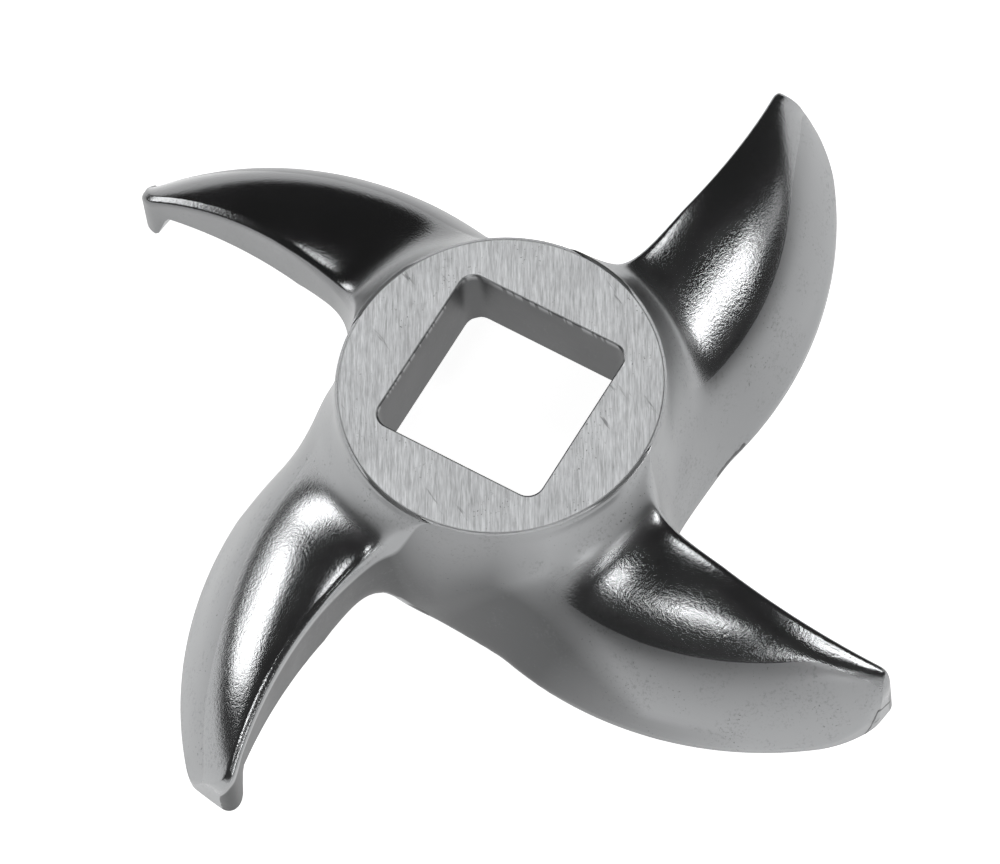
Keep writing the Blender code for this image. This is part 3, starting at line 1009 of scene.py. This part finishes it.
def steel_patterns(tree, place):
    """All patterns by name, with the marks cut out of their noises as smooth steps."""
    pattern = {name: noise(tree, place, *values) for name, values in PATTERNS.items()}
    freckled = pattern["freckled patches"].smooth(0.42, 0.62)
    pattern["freckles"] = pattern["freckles"].smooth(0.50, 0.68) * freckled
    pitted = pattern["pitted patches"].smooth(0.48, 0.64)
    pattern["pits"] = pattern["pits"].smooth(0.64, 0.72) * pitted
    pattern["scuffs"] = pattern["scuffs"].smooth(0.66, 0.74)
    pattern["lines"] = (pattern["streaks"] - 0.5) * 1.5 + (pattern["fine streaks"] - 0.5) * 1.2
    return pattern


print("patterns:", ", ".join(PATTERNS))

# %% [markdown]
# ## Nicks
# The real knife has a chip at one blade's end and two ragged nicks by the roots. They could be
# cut into the mesh, but they are finer than its grid, so they are drawn in the material: a dark
# line and a dent near a straight run, which a little noise makes ragged.

# %% Draw the nicks
# For each nick: its two ends and its width.
NICKS = [
    ((-0.0056, -0.04765, 0.0020), (-0.0074, -0.04736, 0.0027), 0.00022),
    ((-0.0074, -0.04736, 0.0027), (-0.0091, -0.0468, 0.0001), 0.00022),
    ((0.0127, -0.0201, 0.0005), (0.0086, -0.0194, 0.0005), 0.00035),
    ((-0.0195, 0.0006, 0.0012), (-0.0190, -0.0014, 0.0003), 0.00035),
]
NICK_WANDER = 0.0004
NICK_NOISE_SCALE = 1100
NICK_CORE = 0.6


def near_line(tree, place, start, end, width):
    """1 within a ragged band round the straight line from start to end, and 0 away from it.

    A point's shadow on the line lies at the dot product of its offset from the start with the run,
    over the run's length squared. The distance from the shadow decides.
    """
    run = Vector(end) - Vector(start)
    vector_math = "ShaderNodeVectorMath"
    wander = {"Vector": place, "Scale": NICK_NOISE_SCALE, "Detail": 2}
    colour = add_node(tree, "ShaderNodeTexNoise", {}, wander, "Color")
    shift = {0: colour, 1: (NICK_WANDER,) * 3, 2: tuple(-0.5 * NICK_WANDER - x for x in start)}
    shift = add_node(tree, vector_math, {"operation": "MULTIPLY_ADD"}, shift)
    offset = add_node(tree, vector_math, {"operation": "ADD"}, {0: place, 1: shift})
    share = {0: offset, 1: tuple(run / run.length_squared)}
    share = add_node(tree, vector_math, {"operation": "DOT_PRODUCT"}, share, "Value")
    share = share.math("ADD", 0.0, clamped=True)
    shadow = add_node(tree, vector_math, {"operation": "SCALE"}, {0: tuple(run), "Scale": share})
    ends = {0: offset, 1: shadow}
    gap = add_node(tree, vector_math, {"operation": "DISTANCE"}, ends, "Value")
    return 1 - gap.smooth(width * NICK_CORE, width)


print("runs of nicks:", len(NICKS))

# %% [markdown]
# ## The steel
# One material reads the shares of each finish that the points carry; a material for each finish
# would leave hard borders. Colour is a stack of Mix nodes, from the ground flank up to the nicks.
# The tumbled backs are glossier, so they mirror the room, and a fine bump breaks their
# highlights.

# %% Colour the steel


def steel_colour(tree, share, pattern, nicks):
    """Greys laid over each other: each share or pattern is the factor of one Mix node."""
    face = share["face"]
    cloudy = (0.50 + (pattern["cloud"] - 0.5) * 0.10).smooth(0.3, 0.7)
    base = mix_colour(tree, cloudy, grey(FLANK_GREYS[0]), grey(FLANK_GREYS[1]))
    base = mix_colour(tree, share["back"], base, grey(BACK_GREY))
    # Painted shade: the walls take a darker grey.
    base = mix_colour(tree, share["wall"], base, grey(WALL_SHADE_GREY))
    base = mix_colour(tree, share["bore"], base, grey(BORE_GREY))
    # Painted shade: the darkest grey over roots, walls and backs.
    base = mix_colour(tree, share["dark"], base, grey(PAINTED_SHADE_GREY))
    lined = mix_colour(tree, pattern["lines"] + 0.5, grey(FACE_GREYS[0]), grey(FACE_GREYS[1]))
    lined = mix_colour(tree, pattern["scuffs"] * 0.75, lined, grey(SCUFF_GREY))
    base = mix_colour(tree, face, base, lined)
    freckles = pattern["freckles"] * (1 - face * 0.8) * 0.40
    base = mix_colour(tree, freckles, base, grey(FRECKLE_GREY))
    base = mix_colour(tree, pattern["pits"] * (1 - share["back"]) * 0.75, base, grey(PIT_GREY))
    return mix_colour(tree, nicks * 0.85, base, grey(NICK_GREY))


print("greys of the flank:", FLANK_GREYS)

# %% Give the steel its gloss and bump
METAL_IOR = 2.5
BUMP_STRENGTH = 0.35
BUMP_DISTANCE = 0.00002
SHARP_EDGE = math.radians(35)


def steel_roughness(share, pattern):
    """A satin of 0.36, cloudy, glossier on the backs and duller on face, walls and bore."""
    rough = 0.36 + (pattern["cloud"] - 0.5) * 0.12
    rough = rough - share["back"] * 0.20 + share["face"] * 0.12
    return rough + share["wall"] * 0.04 + share["bore"] * 0.08


def steel_height(share, pattern, nicks):
    """Grain, most on the backs, orange peel off the face, belt lines on it, and the nicks."""
    face, back = share["face"], share["back"]
    grain = (pattern["grain"] - 0.5) * (back * 2.4 + 0.9 - face * 0.6)
    peel = (pattern["peel"] - 0.5) * (1 - face) * (0.8 - back * 0.6)
    return grain + peel + pattern["lines"] * face * 1.2 - nicks * 8


def steel_material():
    material = bpy.data.materials.new("worked steel")
    material.use_nodes = True
    tree = material.node_tree
    shader = tree.nodes["Principled BSDF"]
    shader.inputs["Metallic"].default_value = 1.0
    shader.inputs["IOR"].default_value = METAL_IOR
    place = add_node(tree, "ShaderNodeTexCoord", output="Object")
    share = {
        name: add_node(tree, "ShaderNodeAttribute", {"attribute_name": name}, output="Fac")
        for name in ZONES
    }
    pattern = steel_patterns(tree, place)
    nicks = sum(near_line(tree, place, *nick) for nick in NICKS)
    height = steel_height(share, pattern, nicks)
    bump = {"Height": height, "Strength": BUMP_STRENGTH, "Distance": BUMP_DISTANCE}
    finish = {
        "Base Color": steel_colour(tree, share, pattern, nicks),
        "Roughness": steel_roughness(share, pattern),
        "Normal": add_node(tree, "ShaderNodeBump", {}, bump),
    }
    for name, wire in finish.items():
        tree.links.new(wire.socket, shader.inputs[name])
    return material


knife = bpy.data.objects.new("knife_casting", knife_mesh)
bpy.context.scene.collection.objects.link(knife)
knife_mesh.shade_smooth()
knife_mesh.set_sharp_from_angle(angle=SHARP_EDGE)
knife_mesh.materials.append(steel_material())
print("steel on", knife.name)

# %% [markdown]
# ## The table
# Bright metal shows its surroundings, so the studio matters as much as the steel. The knife stands
# on a white table. More light would whiten it too, but would burn out the steel, so the table
# glows, only for what sees or mirrors it, and keeps the shadow.

# %% Lay the table
TABLE_WIDTH = 6.0
TABLE_PAINT = 0.80
TABLE_GLOW = 0.90
TABLE_CORNERS = ((-1, -1), (1, -1), (1, 1), (-1, 1))
NO_TINT = (1, 1, 1)


def table_material():
    """White paint, plus a glow wherever a camera, glossy or transmission ray meets it."""
    material = bpy.data.materials.new("white table")
    material.use_nodes = True
    tree = material.node_tree
    tree.nodes.clear()
    rays = tree.nodes.new("ShaderNodeLightPath")
    camera_ray, glossy_ray, transmission_ray = (
        Wire(tree, rays.outputs[name])
        for name in ("Is Camera Ray", "Is Glossy Ray", "Is Transmission Ray")
    )
    seen = camera_ray.math("MAXIMUM", glossy_ray).math("MAXIMUM", transmission_ray)
    paint = add_node(tree, "ShaderNodeBsdfDiffuse", {}, {"Color": grey(TABLE_PAINT, NO_TINT)})
    glow = {"Color": grey(1.0, NO_TINT), "Strength": TABLE_GLOW}
    glow = add_node(tree, "ShaderNodeEmission", {}, glow)
    lit = add_node(tree, "ShaderNodeAddShader", {}, {0: paint, 1: glow})
    both = add_node(tree, "ShaderNodeMixShader", {}, {0: seen, 1: paint, 2: lit})
    out = tree.nodes.new("ShaderNodeOutputMaterial")
    tree.links.new(both.socket, out.inputs["Surface"])
    return material


def lay_table():
    corners = [(TABLE_WIDTH / 2 * x, TABLE_WIDTH / 2 * y, 0) for x, y in TABLE_CORNERS]
    data = bpy.data.meshes.new("table")
    data.from_pydata(corners, [], [(0, 1, 2, 3)])
    table = bpy.data.objects.new("table", data)
    bpy.context.scene.collection.objects.link(table)
    data.materials.append(table_material())
    return table


print("table width in m:", lay_table().dimensions.x)

# %% [markdown]
# ## The room
# The flanks mirror the pale table and the low part of the room, and the backs mirror what is
# above, which was dark. Black cards could be hung up there, but a world whose grey falls with the
# height does the same. It is tipped, so that the pale part reaches higher on one side.

# %% Paint the room
NEAR_SIDE = math.radians(215)
NEAR_LIFT = 0.50
ROOM_STOPS = [(0.0, 1.0), (0.05, 0.8), (0.22, 0.10), (1.0, 0.06)]
ROOM_GLOW = 0.9


def paint_room():
    """A ramp over the direction's height less its dot product with the near side."""
    world = bpy.data.worlds.new("studio room")
    bpy.context.scene.world = world
    world.use_nodes = True
    tree = world.node_tree
    direction = add_node(tree, "ShaderNodeTexCoord", output="Generated")
    up = add_node(tree, "ShaderNodeSeparateXYZ", {}, {"Vector": direction}, "Z")
    near = {0: direction, 1: (math.cos(NEAR_SIDE), math.sin(NEAR_SIDE), 0)}
    near = add_node(tree, "ShaderNodeVectorMath", {"operation": "DOT_PRODUCT"}, near, "Value")
    height = {"Fac": up - near * NEAR_LIFT}
    colour = add_node(tree, "ShaderNodeValToRGB", {"stops": ROOM_STOPS}, height)
    background = tree.nodes["Background"]
    tree.links.new(colour.socket, background.inputs["Color"])
    background.inputs["Strength"].default_value = ROOM_GLOW


paint_room()
print("room:", bpy.context.scene.world.name)

# %% [markdown]
# ## The lamps
# The bright streaks on the backs are mirrored lamps. Round lamps would draw spots. Each streak's
# place and slope tell from where its light came, so every lamp is a soft strip between two such
# directions.

# %% Hang the lamps
LAMP_DISTANCE = 0.9

# For each lamp: azimuth and elevation of its two ends in degrees, its width in metres and its glow.
LAMPS = {
    "left lamp": ((70, 23), (106, 23), 0.24, 5.5),
    "right lamp": ((297, 60), (314, 33), 0.09, 11),
    "right end": ((315, 35), (327, 10), 0.06, 2),
    "face lamp": ((38, 56), (38, 72), 0.20, 5.1),
    "top lamp": ((156, 67), (198, 63), 0.07, 11),
    "near lamp": ((216, 51), (248, 37), 0.06, 8),
    "side lamp": ((225, 17), (237, 17), 0.12, 3),
}


def aimed(azimuth, elevation):
    """A point at the lamps' distance: x = d cos e cos a, y = d cos e sin a, z = d sin e."""
    a, e = math.radians(azimuth), math.radians(elevation)
    flat = LAMP_DISTANCE * math.cos(e)
    return Vector((flat * math.cos(a), flat * math.sin(a), LAMP_DISTANCE * math.sin(e)))


def strip_lamp(name, first, last, width, glow):
    """A strip between two directions. Its power is pi x area x the glow that steel mirrors."""
    start, end = aimed(*first), aimed(*last)
    along = end - start
    back = (start + end).normalized()
    side = along.cross(back).normalized()
    data = bpy.data.lights.new(name, "AREA")
    data.shape = "RECTANGLE"
    data.size, data.size_y = width, along.length
    data.energy = math.pi * width * along.length * glow
    lamp = bpy.data.objects.new(name, data)
    turn = Matrix((side, back.cross(side), back)).transposed()
    lamp.matrix_world = Matrix.Translation((start + end) / 2) @ turn.to_4x4()
    bpy.context.scene.collection.objects.link(lamp)
    return data.energy


for name, values in LAMPS.items():
    print(name, "in watts:", round(strip_lamp(name, *values), 2))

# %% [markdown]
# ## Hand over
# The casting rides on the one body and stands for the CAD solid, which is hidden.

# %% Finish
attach(knife, "root")
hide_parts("knife")

bpy.context.scene.view_settings.view_transform = "Standard"
bpy.context.view_layer.update()
